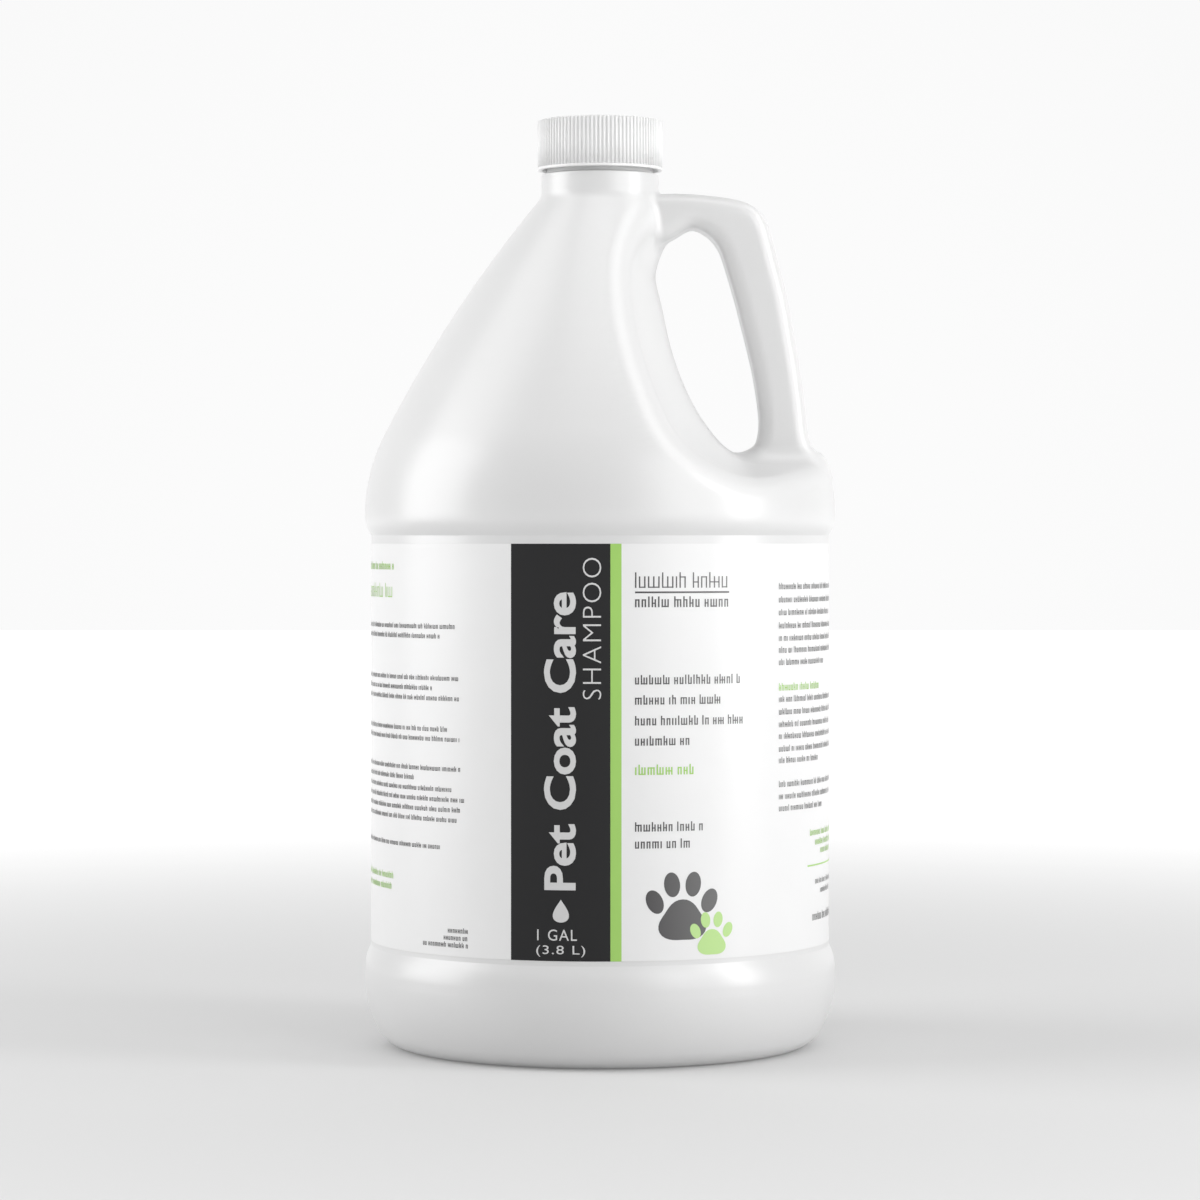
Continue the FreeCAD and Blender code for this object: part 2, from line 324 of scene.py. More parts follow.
def net_quads(inside, number):
    """A quad through the four cells round each grid edge that the skin cuts."""
    quads = []
    limit = number.shape
    for axis in range(3):
        others = [m for m in range(3) if m != axis]
        low = inside[tuple(slice(0, -1) if m == axis else slice(None) for m in range(3))]
        high = inside[tuple(slice(1, None) if m == axis else slice(None) for m in range(3))]
        edges = np.argwhere(low != high)
        keep = np.ones(len(edges), bool)
        for m in others:
            keep &= (edges[:, m] < limit[m]) & ((edges[:, m] > 0) | (m == 0))
        edges = edges[keep]
        around = []
        for back in ((0, 0), (1, 0), (1, 1), (0, 1)):
            cell = edges.copy()
            cell[:, others] -= back
            cell[:, 0] %= limit[0]
            around.append(number[tuple(cell.T)])
        around = np.stack(around, -1)
        turned = low[tuple(edges.T)] != (axis == 1)
        around[turned] = around[turned][:, ::-1]
        quads.append(around)
    return np.vstack(quads)


def net(inset, fine, coarse, dr, dz):
    """The skin between NET_LOW and NET_HIGH, as points and quads netted over a round grid.

    The grid's planes run from 0 to pi, and the other half mirrors them.
    Returns the points, the quads, and the rings of points at the lower and upper edge.
    """
    angles = half_circle(fine, coarse)
    band = BODY_R - inset
    r = band + dr * (0.5 - np.arange(round((band - NET_CORE_R) / dr))[::-1]) + dr
    rows = round((NET_HIGH - NET_LOW) / dz)
    z = np.linspace(NET_LOW, NET_HIGH, rows + 1)
    a, rr, zz = np.meshgrid(angles, r, z, indexing="ij")
    grid = np.stack([rr * np.cos(a), rr * np.sin(a), zz], -1).reshape(-1, 3)
    half = skin_field(grid, shape_lines(inset, 1), inset).reshape(a.shape)
    field = np.concatenate([half, half[-2:0:-1], half[:1]])
    theta = np.concatenate([angles, 2 * math.pi - angles[-2:0:-1], [2 * math.pi]])
    # the cells that the skin passes, each with a number
    inside = field < 0
    cut = [slice(0, -1), slice(1, None)]
    votes = sum(inside[cut[i], cut[j], cut[k]].astype(int) for i, j, k in CORNERS)
    cells = np.argwhere((votes > 0) & (votes < len(CORNERS)))
    number = np.full(votes.shape, -1)
    number[tuple(cells.T)] = np.arange(len(cells))
    at = cell_points(field, cells)
    ta, ra, za = (np.interp(at[:, m], np.arange(len(line)), line) for m, line in enumerate((theta, r, z)))
    points = np.stack([ra * np.cos(ta), ra * np.sin(ta), za], -1)
    # the half with y above 0 is settled, and the other half copies it
    upper = points[:, 1] >= 0
    points[upper] = settle(points[upper], shape_lines(inset, 4), inset)
    twin = cells[~upper]
    twin[:, 0] = len(theta) - 2 - twin[:, 0]
    points[~upper] = points[number[tuple(twin.T)]] * (1, -1, 1)
    rings = []
    for k in (0, rows - 1):
        ring = number[:, :, k]
        assert ((ring >= 0).sum(1) == 1).all(), "the net's edge isn't a single ring"
        rings.append(ring.max(1))
    return points, net_quads(inside, number), rings


def thread_height(angle, z, low, turns, widths, height):
    """How far a thread's ridge stands up, fading out at its ends."""
    best = np.zeros(np.broadcast(angle, z).shape)
    for lap in range(3):
        along = angle / (2 * math.pi) + lap
        off = np.abs(z - low - PITCH * along)
        flank = np.clip((widths[0] / 2 - off) / ((widths[0] - widths[1]) / 2), 0, 1)
        flank = flank * flank * (3 - 2 * flank)
        ends = np.clip(np.minimum(along, turns - along) / THREAD_FADE, 0, 1)
        best = np.maximum(best, height * flank * np.sqrt(ends))
    return best


class Skin:
    """Points and quads of a skin, added ring by ring with the solid on the left of the way they run."""

    def __init__(self):
        self.points, self.faces, self.size = [], [], 0

    def add(self, points):
        """Adds points and returns their numbers."""
        first, self.size = self.size, self.size + len(points)
        self.points.append(np.asarray(points, float))
        return np.arange(first, self.size)

    def ring(self, r, z, angles):
        """Adds a level ring."""
        r = np.broadcast_to(r, angles.shape)
        return self.add(np.stack([r * np.cos(angles), r * np.sin(angles), np.full(angles.shape, z)], -1))

    def band(self, low, high):
        """Joins two rings with quads."""
        self.faces += np.stack([low, np.roll(low, -1), np.roll(high, -1), high], -1).tolist()

    def pole(self, z, ring, first):
        """Closes a ring with a fan of triangles to the axis, before it or after it."""
        centre = self.add([(0, 0, z)])[0]
        a, b = (np.roll(ring, -1), ring) if first else (ring, np.roll(ring, -1))
        self.faces += np.stack([a, b, np.full(len(ring), centre)], -1).tolist()

    def rings(self, outline, angles, before=None, swell=None):
        """Rings through an outline's points, from the ring before. Ends on the axis close to a pole."""
        last = before
        for i, (r, z) in enumerate(outline):
            if r < 1e-6:
                if last is not None:
                    self.pole(z, last, False)
                continue
            ring = self.ring(r if swell is None else r + swell(r, z, angles), z, angles)
            if last is not None:
                self.band(last, ring)
            elif i and outline[0][0] < 1e-6:
                self.pole(outline[0][1], ring, True)
            last = ring
        return last

    def mesh(self, name):
        """The skin as a mesh in metres, smooth but for its sharp edges."""
        mesh = bpy.data.meshes.new(name)
        mesh.from_pydata((np.vstack(self.points) * MM).tolist(), [], self.faces)
        mesh.shade_smooth()
        mesh.set_sharp_from_angle(angle=math.radians(40))
        return mesh


def put(name, data):
    """A new object in the scene, at the origin."""
    thing = bpy.data.objects.new(name, data)
    bpy.context.scene.collection.objects.link(thing)
    return thing


def finished_mesh(thing):
    """What the object looks like after its modifiers, as a plain mesh."""
    deps = bpy.context.evaluated_depsgraph_get()
    return bpy.data.meshes.new_from_object(thing.evaluated_get(deps), depsgraph=deps)


def piece(name, mesh, body, stands_for=()):
    """A finished piece at the origin, riding on its body."""
    thing = put(name, mesh)
    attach(thing, body)
    if stands_for:
        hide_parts(*stands_for)
    return thing


def ring_angles(points):
    """The angle of each point round the axis."""
    return np.arctan2(points[:, 1], points[:, 0]) % (2 * math.pi)


def neck_outline():
    """The collar, the neck's outside, its rim, and the bore down to the net."""
    pen = Outline(COLLAR_R, NET_HIGH + 0.4, step=30.0)
    pen.points.clear()  # the net's top ring is the first one
    pen.heading = math.pi / 2
    pen.line(COLLAR_R, COLLAR_TOP - 0.4).arc(0.4, 90).line(NECK_FOOT_R, COLLAR_TOP).arc(0.6, -90)
    for z in np.arange(COLLAR_TOP + 3.2, RIM - 1.0, RING_GAP):
        pen.line(NECK_ROOT_R, z, 1.0)
    pen.line(NECK_ROOT_R, RIM - NECK_ROUND).arc(NECK_ROUND, 90)
    pen.line(BORE_R + NECK_ROUND, RIM).arc(NECK_ROUND, 90)
    return pen.points + [q for q in shape_lines(WALL, 1)[0][::-1] if NET_HIGH + 0.6 < q[1] < RIM - 0.8]


def neck_ridge(r, z, angles):
    """The neck's thread, standing out from its wall."""
    return (r == NECK_ROOT_R) * thread_height(angles, z, *NECK_THREAD)


def bottle_mesh():
    """The whole blown shell: base and panel in rings, the netted shoulder and handle, the neck, and the inside."""
    skin = Skin()
    spots, quads, (low, high) = net(0, *OUTER_NET)
    base = [q for q in body_outline(0, 9.0).points if q[1] < NET_LOW - 0.2]
    base.insert(1, (4.0, base[0][1]))  # so that the fan of triangles in the middle stays small
    last = skin.rings(base, ring_angles(spots[low]))
    outer = skin.add(spots)
    skin.faces += outer[quads].tolist()
    skin.band(last, outer[low])
    last = skin.rings(neck_outline(), ring_angles(spots[low]), outer[high], neck_ridge)

    spots, quads, (low, high) = net(WALL, *INNER_NET)
    inner = skin.add(spots)
    skin.faces += inner[quads][:, ::-1].tolist()
    start = skin.size
    floor = [q for q in body_outline(WALL, 18.0).points if q[1] < NET_LOW - 0.4]
    lowest = skin.rings(floor, ring_angles(spots[low]))
    skin.faces = [f[::-1] if min(f) >= start else f for f in skin.faces]
    skin.band(inner[low], lowest)

    mesh = skin.mesh("bottle_skin")
    bm = bmesh.new()
    bm.from_mesh(mesh)
    bm.verts.ensure_lookup_table()
    loops = [bm.edges.get((bm.verts[a], bm.verts[b]))
             for ring in (last, inner[high]) for a, b in zip(ring, np.roll(ring, -1))]
    bmesh.ops.bridge_loops(bm, edges=loops)
    bm.to_mesh(mesh)
    bm.free()
    mesh.shade_smooth()
    return mesh


def cap_outline():
    """The cap's outline from the middle of its inside, down the bore, round the foot and over the top."""
    low, high, under = bottom_of("cap"), top_of("cap"), top_of("cap_liner")
    pen = Outline(0, under).line(CAP_BORE_R - 0.5, under).arc(0.5, -90)
    for z in np.arange(under - 1.0, low + 1.2, -RING_GAP):
        pen.line(CAP_BORE_R, z, 1.0)
    pen.line(CAP_BORE_R, low + 0.5).line(19.3, low).line(CAP_FOOT_R - 0.3, low).arc(0.3, 90)
    pen.line(CAP_FOOT_R, low + 0.7).arc(0.2, 90).line(CAP_FOOT_R - 0.2, low + 0.9)
    pen.line(CAP_WALL_R, low + 1.0).line(CAP_WALL_R, high - 0.5).arc(0.5, 90)
    sunk, dot = high - 0.25, high - 0.05
    pen.line(18.4, high).line(18.1, sunk).line(2.4, sunk).line(2.0, dot).line(0.9, dot)
    return pen.line(0.6, high - 0.3).line(0, high - 0.3)


def cap_ridge(r, z, angles):
    """The cap's thread, standing inwards from its bore."""
    return -(abs(r - CAP_BORE_R) < 1e-6) * thread_height(angles, z, *CAP_THREAD)


def cap_mesh():
    """The cap without its ribs."""
    skin = Skin()
    skin.rings(cap_outline().points, full_circle(192), swell=cap_ridge)
    return skin.mesh("cap_shell")


def liner_mesh():
    """A foam disc, pressed in a little where the neck's rim bears on it."""
    high, r = top_of("cap_liner"), radius_of("cap_liner")
    low, pressed, edge = bottom_of("cap_liner") + 0.02, bottom_of("cap_liner") + 0.12, 0.3
    pen = Outline(0, low, step=30.0).line(15.4, low).line(15.9, pressed).line(17.4, pressed).line(17.9, low)
    pen.line(r - edge, low).arc(edge, 90).line(r, high - edge).arc(edge, 90).line(0, high)
    skin = Skin()
    skin.rings(pen.points, full_circle(128))
    return skin.mesh("liner_disc")


# The label ------------------------------------------------------------------------------------------
# Places on it are (along, up): along the film from the middle of the front towards the handle, and height.

FILM_R = PANEL_R + 0.12
FILM_EDGE = 0.03
FACET = 2.6  # between the film's upright cuts
LAP, LAP_THICK = 6.06, 0.1  # the second layer at the back: how many degrees it covers, and its thickness
INK_LIFT, INK_APART = 0.045, 0.004  # how far print stands off the film, and prints that cross off each other
BAND = (-28.6, 3.26)
SEAM = 238.0  # half of the way round, to where the film's ends meet at the back
LARGE_PRINT = 3.0  # rows at least this tall have thinner strokes, wider apart
PAPER, BLACK, GREEN, SILVER, GREY, PALE = range(6)

# rows of small print: ink, first and last place along, height above the base, height of its letters
ROWS = [(GREY, 11.0, 43.0, 153.4, 3.6), (GREY, 11.0, 43.0, 146.8, 2.5)]
ROWS += [(GREY, 11.0, end, z, 2.2) for end, z in
         ((47.6, 122.5), (39.9, 116.2), (48.4, 109.7), (31.3, 103.4), (33.8, 76.5), (30.0, 71.2))]
ROWS += [(GREEN, 11.0, 32.0, 94.3, 2.4)]
ROWS += [(GREY, 64.6, end, z, 1.5) for end, z in
         ((112, 151.6), (115, 147.4), (109, 143.3), (114, 139.1), (111, 135.1), (115, 131.3), (98, 127.4),
          (112, 115.6), (115, 111.6), (110, 107.6), (114, 103.8), (112, 99.8), (91, 96.1), (114, 88.5),
          (110, 84.6), (96, 80.8))]
ROWS += [(GREEN, 64.6, 93.5, 119.4, 1.8)]
ROWS += [(ink, start, 204 - start, z, h) for ink, start, z, h in
         ((GREEN, 84, 71.9, 1.6), (GREEN, 88.5, 68.7, 1.6), (GREEN, 94, 65.8, 1.6), (GREY, 88.5, 56.0, 1.4),
          (GREY, 94, 52.8, 1.4), (GREY, 86, 44.5, 2.0))]
ROWS += [(GREEN, -113, -80, 158.0, 1.9), (GREEN, -113, -79.5, 149.8, 3.4)]
ROWS += [(GREY, start, end, z, 1.25) for start, end, z in
         ((-113, -49, 139.0), (-113, -55, 135.9), (-113, -48, 122.6), (-113, -59, 119.4), (-113, -47, 116.2),
          (-113, -52.6, 106.4), (-113, -47.2, 103.3), (-113, -46, 93.9), (-113, -68, 90.7), (-113, -50, 87.4),
          (-113, -45.6, 84.2), (-113, -46.4, 81.0), (-113, -47.2, 77.8), (-113, -55.2, 69.1),
          (-52.2, -43.7, 42.9), (-54, -43.7, 40.6), (-63.6, -43.7, 38.3))]
ROWS += [(GREEN, -113, -79.8, 58.3, 1.6), (GREEN, -113, -81.4, 54.8, 1.6)]
RULES = [(GREY, 11.0, 43.0, 150.2, 0.55), (GREEN, 82.0, 122.0, 61.4, 0.5)]
# words, in ink, with the box that they fill; the two long ones read upwards
WORDS = [("Pet Coat Care", SILVER, (-17.7, -7.5), (57.1, 150.3), True, 0.025),
         ("SHAMPOO", SILVER, (-5.4, 0.4), (116.8, 161.0), True, -0.018),
         ("1 GAL", SILVER, (-19.9, -7.2), (41.3, 44.8), False, 0.0),
         ("(3.8 L)", SILVER, (-20.2, -4.6), (36.2, 39.8), False, 0.0)]
PAW_AT, SMALL_PAW_AT, SMALL_PAW = (26.5, 51.0), (36.6, 42.4), 0.63  # the smaller is that share of the larger
DROP_AT, DROP_SIZE = (-12.3, 50.6), 3.6


def label_mesh(stripe):
    """The film sleeve, with its printed band and stripe as faces of their own, and its lap at the back."""
    skin = Skin()
    low, high = bottom_of("wrap_label"), top_of("wrap_label")
    edges = (*BAND, BAND[1] + stripe)
    cuts = sorted([*np.arange(-SEAM, SEAM, FACET), *edges])
    # a cut just after another one is dropped, but never an edge of the print
    cuts = [c for i, c in enumerate(cuts) if not i or c - cuts[i - 1] > 0.3 or c in edges]
    angles = np.array(cuts) / FILM_R - math.pi / 2
    inner = PANEL_R + FILM_EDGE
    outline = [(inner, low), (FILM_R - FILM_EDGE, low), (FILM_R, low + FILM_EDGE), (FILM_R, high - FILM_EDGE),
               (FILM_R - FILM_EDGE, high), (inner, high)]
    first = skin.rings(outline[:1], angles)
    skin.band(skin.rings(outline[1:], angles, first), first)
    flap = (90 + np.linspace(0, LAP, 5)) * math.pi / 180
    grid = [skin.add(np.stack([r * np.cos(flap), r * np.sin(flap), np.full(5, z)], -1))
            for r, z in ((FILM_R, low), (FILM_R + LAP_THICK, low), (FILM_R + LAP_THICK, high), (FILM_R, high))]
    for a, b in zip(grid, grid[1:] + grid[:1]):
        skin.faces += np.stack([a[:-1], a[1:], b[1:], b[:-1]], -1).tolist()
    skin.faces += [[g[0] for g in grid], [g[-1] for g in grid[::-1]]]
    mesh = skin.mesh("label_film")
    for polygon in mesh.polygons:
        x, y, _ = polygon.center
        at = math.atan2(x, -y) * FILM_R
        if BAND[0] < at < BAND[1]:
            polygon.material_index = BLACK
        elif BAND[1] < at < edges[2]:
            polygon.material_index = GREEN
    return mesh


def tree_for(name, inputs):
    """An empty geometry tree with those inputs after the geometry."""
    tree = bpy.data.node_groups.new(name, "GeometryNodeTree")
    tree.interface.new_socket("Geometry", in_out="INPUT", socket_type="NodeSocketGeometry")
    for label, kind in inputs:
        tree.interface.new_socket(label, in_out="INPUT", socket_type=kind)
    tree.interface.new_socket("Geometry", in_out="OUTPUT", socket_type="NodeSocketGeometry")
    return tree, tree.nodes.new("NodeGroupInput"), tree.nodes.new("NodeGroupOutput")


def add(tree, kind, links, **settings):
    """A node with its settings, then its sockets' values or links."""
    node = tree.nodes.new(kind)
    for key, value in settings.items():
        setattr(node, key, value)
    for key, value in links.items():
        if isinstance(value, bpy.types.NodeSocket):
            tree.links.new(value, node.inputs[key])
        else:
            node.inputs[key].default_value = value
    return node.outputs


def maths(tree, operation, *values):
    """What a Math node makes of the values or links."""
    return add(tree, "ShaderNodeMath", dict(enumerate(values)), operation=operation)[0]


def run_tree(thing, tree, values):
    """The object's mesh after the tree, as a plain mesh."""
    modifier = thing.modifiers.new("shape", "NODES")
    modifier.node_group = tree
    named = {i.name: i.identifier for i in tree.interface.items_tree if i.in_out == "INPUT"}
    for name, value in values.items():
        modifier[named[name]] = value
    mesh = finished_mesh(thing)
    thing.modifiers.remove(modifier)
    return mesh


def film_tree(bars):
    """Bends flat print round the jug. With bars, every loose point first gets an upright bar of its own size."""
    tree, given, out = tree_for("print_on_film", [("Radius", "NodeSocketFloat"), ("Ink", "NodeSocketMaterial")])
    flat, radius = given.outputs["Geometry"], given.outputs["Radius"]
    if bars:
        size = add(tree, "GeometryNodeInputNamedAttribute", {"Name": "size"}, data_type="FLOAT_VECTOR")[0]
        bar = add(tree, "GeometryNodeMeshGrid", {"Size X": 1.0, "Size Y": 1.0, "Vertices X": 2, "Vertices Y": 2})[0]
        upright = add(tree, "GeometryNodeTransform", {"Geometry": bar, "Rotation": (math.pi / 2, 0, 0)})[0]
        flat = add(tree, "GeometryNodeInstanceOnPoints", {"Points": flat, "Instance": upright, "Scale": size})[0]
        flat = add(tree, "GeometryNodeRealizeInstances", {"Geometry": flat})[0]
    place = add(tree, "ShaderNodeSeparateXYZ", {0: add(tree, "GeometryNodeInputPosition", {})[0]})
    turn = maths(tree, "DIVIDE", place[0], radius)
    across = maths(tree, "MULTIPLY", maths(tree, "SINE", turn), radius)
    deep = maths(tree, "MULTIPLY", maths(tree, "COSINE", turn), maths(tree, "MULTIPLY", radius, -1.0))
    bent = add(tree, "ShaderNodeCombineXYZ", {0: across, 1: deep, 2: place[2]})[0]
    moved = add(tree, "GeometryNodeSetPosition", {"Geometry": flat, "Position": bent})[0]
    whole = add(tree, "GeometryNodeRealizeInstances", {"Geometry": moved})[0]
    inked = add(tree, "GeometryNodeSetMaterial", {"Geometry": whole, "Material": given.outputs["Ink"]})[0]
    tree.links.new(inked, out.inputs[0])
    return tree


def bar_points(ink):
    """Where each stroke stands, and its size, for every row of small print in that ink.

    A row is unreadable marks as large as letters: one to three upright strokes that a short level one joins.
    """
    rng = np.random.default_rng(40 + ink)
    spots, sizes = [], []
    for row_ink, start, end, z, h in ROWS:
        thick, apart, gap = (0.19, 0.38, 0.26) if h < LARGE_PRINT else (0.12, 0.46, 0.22)
        x, left = start, 0  # where the next letter starts, and how many are left in its word
        while x < end:
            if left == 0:
                left = int(rng.integers(2, 9))
                x += 0.45 * h if x > start else 0
            strokes = int(rng.choice([1, 2, 2, 2, 3]))
            pen = h * thick
            wide = pen + (strokes - 1) * h * apart
            tall = h * float(rng.choice([1.0, 1.0, 1.35]))
            level = float(rng.choice([-0.5, 0.0, 0.5])) * (h - pen)
            if x + wide > end:
                break
            if row_ink == ink:
                for n in range(strokes):
                    high = tall if n == 0 else h
                    spots.append((x + pen / 2 + n * (wide - pen) / max(strokes - 1, 1), z + (high - h) / 2))
                    sizes.append((pen, 1.0, high))
                if strokes > 1:
                    spots.append((x + wide / 2, z + level))
                    sizes.append((wide - pen, 1.0, pen * 0.8))
            x += wide + gap * h
            left -= 1
    for row_ink, start, end, z, h in RULES:
        if row_ink == ink:
            for x in np.arange(start, end, 2.0):
                spots.append((x + 1.0, z))
                sizes.append((2.0, 1.0, h))
    return np.array(spots), np.array(sizes)


def drop(x, z, size):
    """The edge of a falling drop."""
    t = full_circle(48)
    return np.stack([x + size * np.sin(t) * np.sin(t / 2) ** 1.4, z + size * np.cos(t)], -1)


def round_patch(x, z, rx, rz, lean):
    """The edge of an oval patch of ink."""
    t = full_circle(28)
    px, pz = rx * np.cos(t), rz * np.sin(t)
    c, s = math.cos(lean), math.sin(lean)
    return np.stack([x + c * px - s * pz, z + s * px + c * pz], -1)


def paw(x, z, size):
    """A paw print: a broad pad and four toes."""
    t = full_circle(40)
    r = size * (0.30 + 0.035 * np.cos(3 * (t - math.pi / 2)))
    pad = np.stack([x + 1.12 * r * np.cos(t), z - 0.18 * size + 0.92 * r * np.sin(t)], -1)
    toes = [round_patch(x + a * size, z + b * size, 0.115 * size, 0.17 * size, lean)
            for a, b, lean in ((-0.40, 0.10, 0.45), (-0.155, 0.33, 0.13), (0.155, 0.33, -0.13), (0.40, 0.10, -0.45))]
    return [pad, *toes]


def flat_mesh(patches):
    """Filled patches standing in the plane of the film, cut finely enough to bend."""
    bm = bmesh.new()
    for patch in patches:
        bm.faces.new([bm.verts.new((x * MM, 0, z * MM)) for x, z in patch])
    return cut_finely(bm)


def word_mesh(words, box_x, box_z, upwards, swell):
    """Letters filled and fitted to their box."""
    curve = bpy.data.curves.new("word", "FONT")
    curve.body, curve.offset, curve.resolution_u = words, swell, 4
    curve.space_character = 1.0 if swell > 0 else 1.12
    thing = put("word", curve)
    mesh = finished_mesh(thing)
    bpy.data.objects.remove(thing)
    bm = bmesh.new()
    bm.from_mesh(mesh)
    flat = np.array([v.co[:2] for v in bm.verts])
    flat = (flat - flat.min(0)) / np.ptp(flat, axis=0)
    for v, (x, y) in zip(bm.verts, flat):
        x, y = (1 - y, x) if upwards else (x, y)
        v.co = ((box_x[0] + x * (box_x[1] - box_x[0])) * MM, 0, (box_z[0] + y * (box_z[1] - box_z[0])) * MM)
    return cut_finely(bm)


def cut_finely(bm):
    """Cuts flat print every 1.5 mm along the film, so that it can bend, and turns it to face out."""
    low, high = (f(v.co.x for v in bm.verts) for f in (min, max))
    for x in np.arange(math.floor(low / MM), high / MM, 1.5) * MM:
        bmesh.ops.bisect_plane(bm, geom=[*bm.verts, *bm.edges, *bm.faces], plane_co=(x, 0, 0), plane_no=(1, 0, 0))
    for face in bm.faces:
        face.normal_update()
        if face.normal.y > 0:
            face.normal_flip()
    mesh = bpy.data.meshes.new("flat")
    bm.to_mesh(mesh)
    bm.free()
    return mesh


def print_mesh(inks, paw_height):
    """All the print on the film as one mesh with a slot for each ink."""
    bars_on, bent = film_tree(True), film_tree(False)
    whole = bmesh.new()
    patches = [(GREY, paw(*PAW_AT, paw_height)), (PALE, paw(*SMALL_PAW_AT, SMALL_PAW * paw_height)),
               (SILVER, [drop(*DROP_AT, DROP_SIZE)])]
    jobs = [(ink, bent, flat_mesh(shape)) for ink, shape in patches]
    jobs += [(ink, bent, word_mesh(text, bx, bz, up, swell)) for text, ink, bx, bz, up, swell in WORDS]
    for ink in (GREY, GREEN):
        spots, sizes = bar_points(ink)
        mesh = bpy.data.meshes.new("bars")
        mesh.from_pydata([(x * MM, 0, z * MM) for x, z in spots], [], [])
        mesh.attributes.new("size", "FLOAT_VECTOR", "POINT").data.foreach_set("vector", (sizes * MM).ravel())
        jobs.append((ink, bars_on, mesh))
    for n, (ink, tree, mesh) in enumerate(jobs):
        thing = put("print", mesh)
        lift = (FILM_R + INK_LIFT + INK_APART * (n % 3)) * MM
        made = run_tree(thing, tree, {"Radius": lift, "Ink": inks[ink]})
        bpy.data.objects.remove(thing)
        for polygon in made.polygons:
            polygon.material_index = ink
        whole.from_mesh(made)
    for face in whole.faces:
        centre = face.calc_center_median()
        if face.normal.x * centre.x + face.normal.y * centre.y < 0:
            face.normal_flip()
    mesh = bpy.data.meshes.new("label_print")
    whole.to_mesh(mesh)
    whole.free()
    return mesh


def rib_tree():
    """Stands a ring of ribs on the cap's wall and joins them to it."""
    tree, given, out = tree_for("cap_ribs", [
        ("Ribs", "NodeSocketInt"), ("Wall radius", "NodeSocketFloat"), ("Rib radius", "NodeSocketFloat"),
        ("Low", "NodeSocketFloat"), ("High", "NodeSocketFloat"), ("Plastic", "NodeSocketMaterial")])
    get = given.outputs
    height = maths(tree, "SUBTRACT", get["High"], get["Low"])
    middle = maths(tree, "MULTIPLY", maths(tree, "ADD", get["High"], get["Low"]), 0.5)
    lift = add(tree, "ShaderNodeCombineXYZ", {2: middle})[0]
    circle = add(tree, "GeometryNodeMeshCircle", {"Vertices": get["Ribs"], "Radius": get["Wall radius"]})[0]
    rib = add(tree, "GeometryNodeMeshCylinder",
              {"Vertices": 10, "Radius": get["Rib radius"], "Depth": height, "Side Segments": 1})[0]
    rounded = add(tree, "GeometryNodeSetShadeSmooth", {"Geometry": rib})[0]
    ring = add(tree, "GeometryNodeInstanceOnPoints", {"Points": circle, "Instance": rounded})[0]
    raised = add(tree, "GeometryNodeTransform", {"Geometry": ring, "Translation": lift})[0]
    real = add(tree, "GeometryNodeRealizeInstances", {"Geometry": raised})[0]
    join = tree.nodes.new("GeometryNodeJoinGeometry")
    tree.links.new(real, join.inputs[0])
    tree.links.new(get["Geometry"], join.inputs[0])
    done = add(tree, "GeometryNodeSetMaterial", {"Geometry": join.outputs[0], "Material": get["Plastic"]})[0]
    tree.links.new(done, out.inputs[0])
    return tree


# Finishes -------------------------------------------------------------------------------------------


class Value:
    """A socket's value, so that shader maths reads as an expression."""

    def __init__(self, finish, socket):
        self.finish, self.socket = finish, socket

    def maths(self, operation, first, second):
        return self.finish.node("ShaderNodeMath", {"operation": operation}, {0: first, 1: second})[0]

    def __add__(self, other):
        return self.maths("ADD", self, other)

    def __mul__(self, other):
        return self.maths("MULTIPLY", self, other)

    def __sub__(self, other):
        return self.maths("SUBTRACT", self, other)

    def __rsub__(self, other):
        return self.maths("SUBTRACT", other, self)

    __radd__, __rmul__ = __add__, __mul__


class Finish:
    """A material being built from nodes."""

    def __init__(self, name, **constants):
        self.material = bpy.data.materials.new(name)
        self.material.use_nodes = True
        self.tree = self.material.node_tree
        self.shader = self.tree.nodes["Principled BSDF"]
        for key, value in constants.items():
            self.shader.inputs[key.replace("_", " ")].default_value = value
        self.place = self.node("ShaderNodeTexCoord", {}, {}, "Object")

    def node(self, kind, settings, sockets, output=None):
        """A node with its settings, then its sockets' values or links. Returns one output, or all of them."""
        made = self.tree.nodes.new(kind)
        for key, value in settings.items():
            setattr(made, key, value)
        for key, value in sockets.items():
            if isinstance(value, Value):
                self.tree.links.new(value.socket, made.inputs[key])
            else:
                made.inputs[key].default_value = value
        if output:
            return Value(self, made.outputs[output])
        return [Value(self, o) for o in made.outputs]

    def noise(self, scale, detail=2.0):
        """Cloudy variation, with about that many clouds in a metre."""
        return self.node("ShaderNodeTexNoise", {}, {"Vector": self.place, "Scale": scale, "Detail": detail}, "Fac")

    def spread(self, value, low, high):
        """The part of a value between two levels, from 0 to 1."""
        return self.node("ShaderNodeMapRange", {"interpolation_type": "SMOOTHSTEP"},
                         {"Value": value, "From Min": low, "From Max": high}, "Result")

    def mix(self, share, a, b):
        """A colour that share takes from a to b."""
        return self.node("ShaderNodeMix", {"data_type": "RGBA"}, {0: share, 6: (*a, 1), 7: (*b, 1)})[2]

    def bump(self, height, distance, under=None):
        """A relief that deep, on top of the one under it."""
        sockets = {"Height": height, "Distance": distance, "Strength": 1.0}
        if under:
            sockets["Normal"] = under
        return self.node("ShaderNodeBump", {}, sockets, "Normal")

    def feed(self, **links):
        """Links values to the shader's sockets, and returns the finished material."""
        for key, value in links.items():
            self.tree.links.new(value.socket, self.shader.inputs[key.replace("_", " ")])
        return self.material


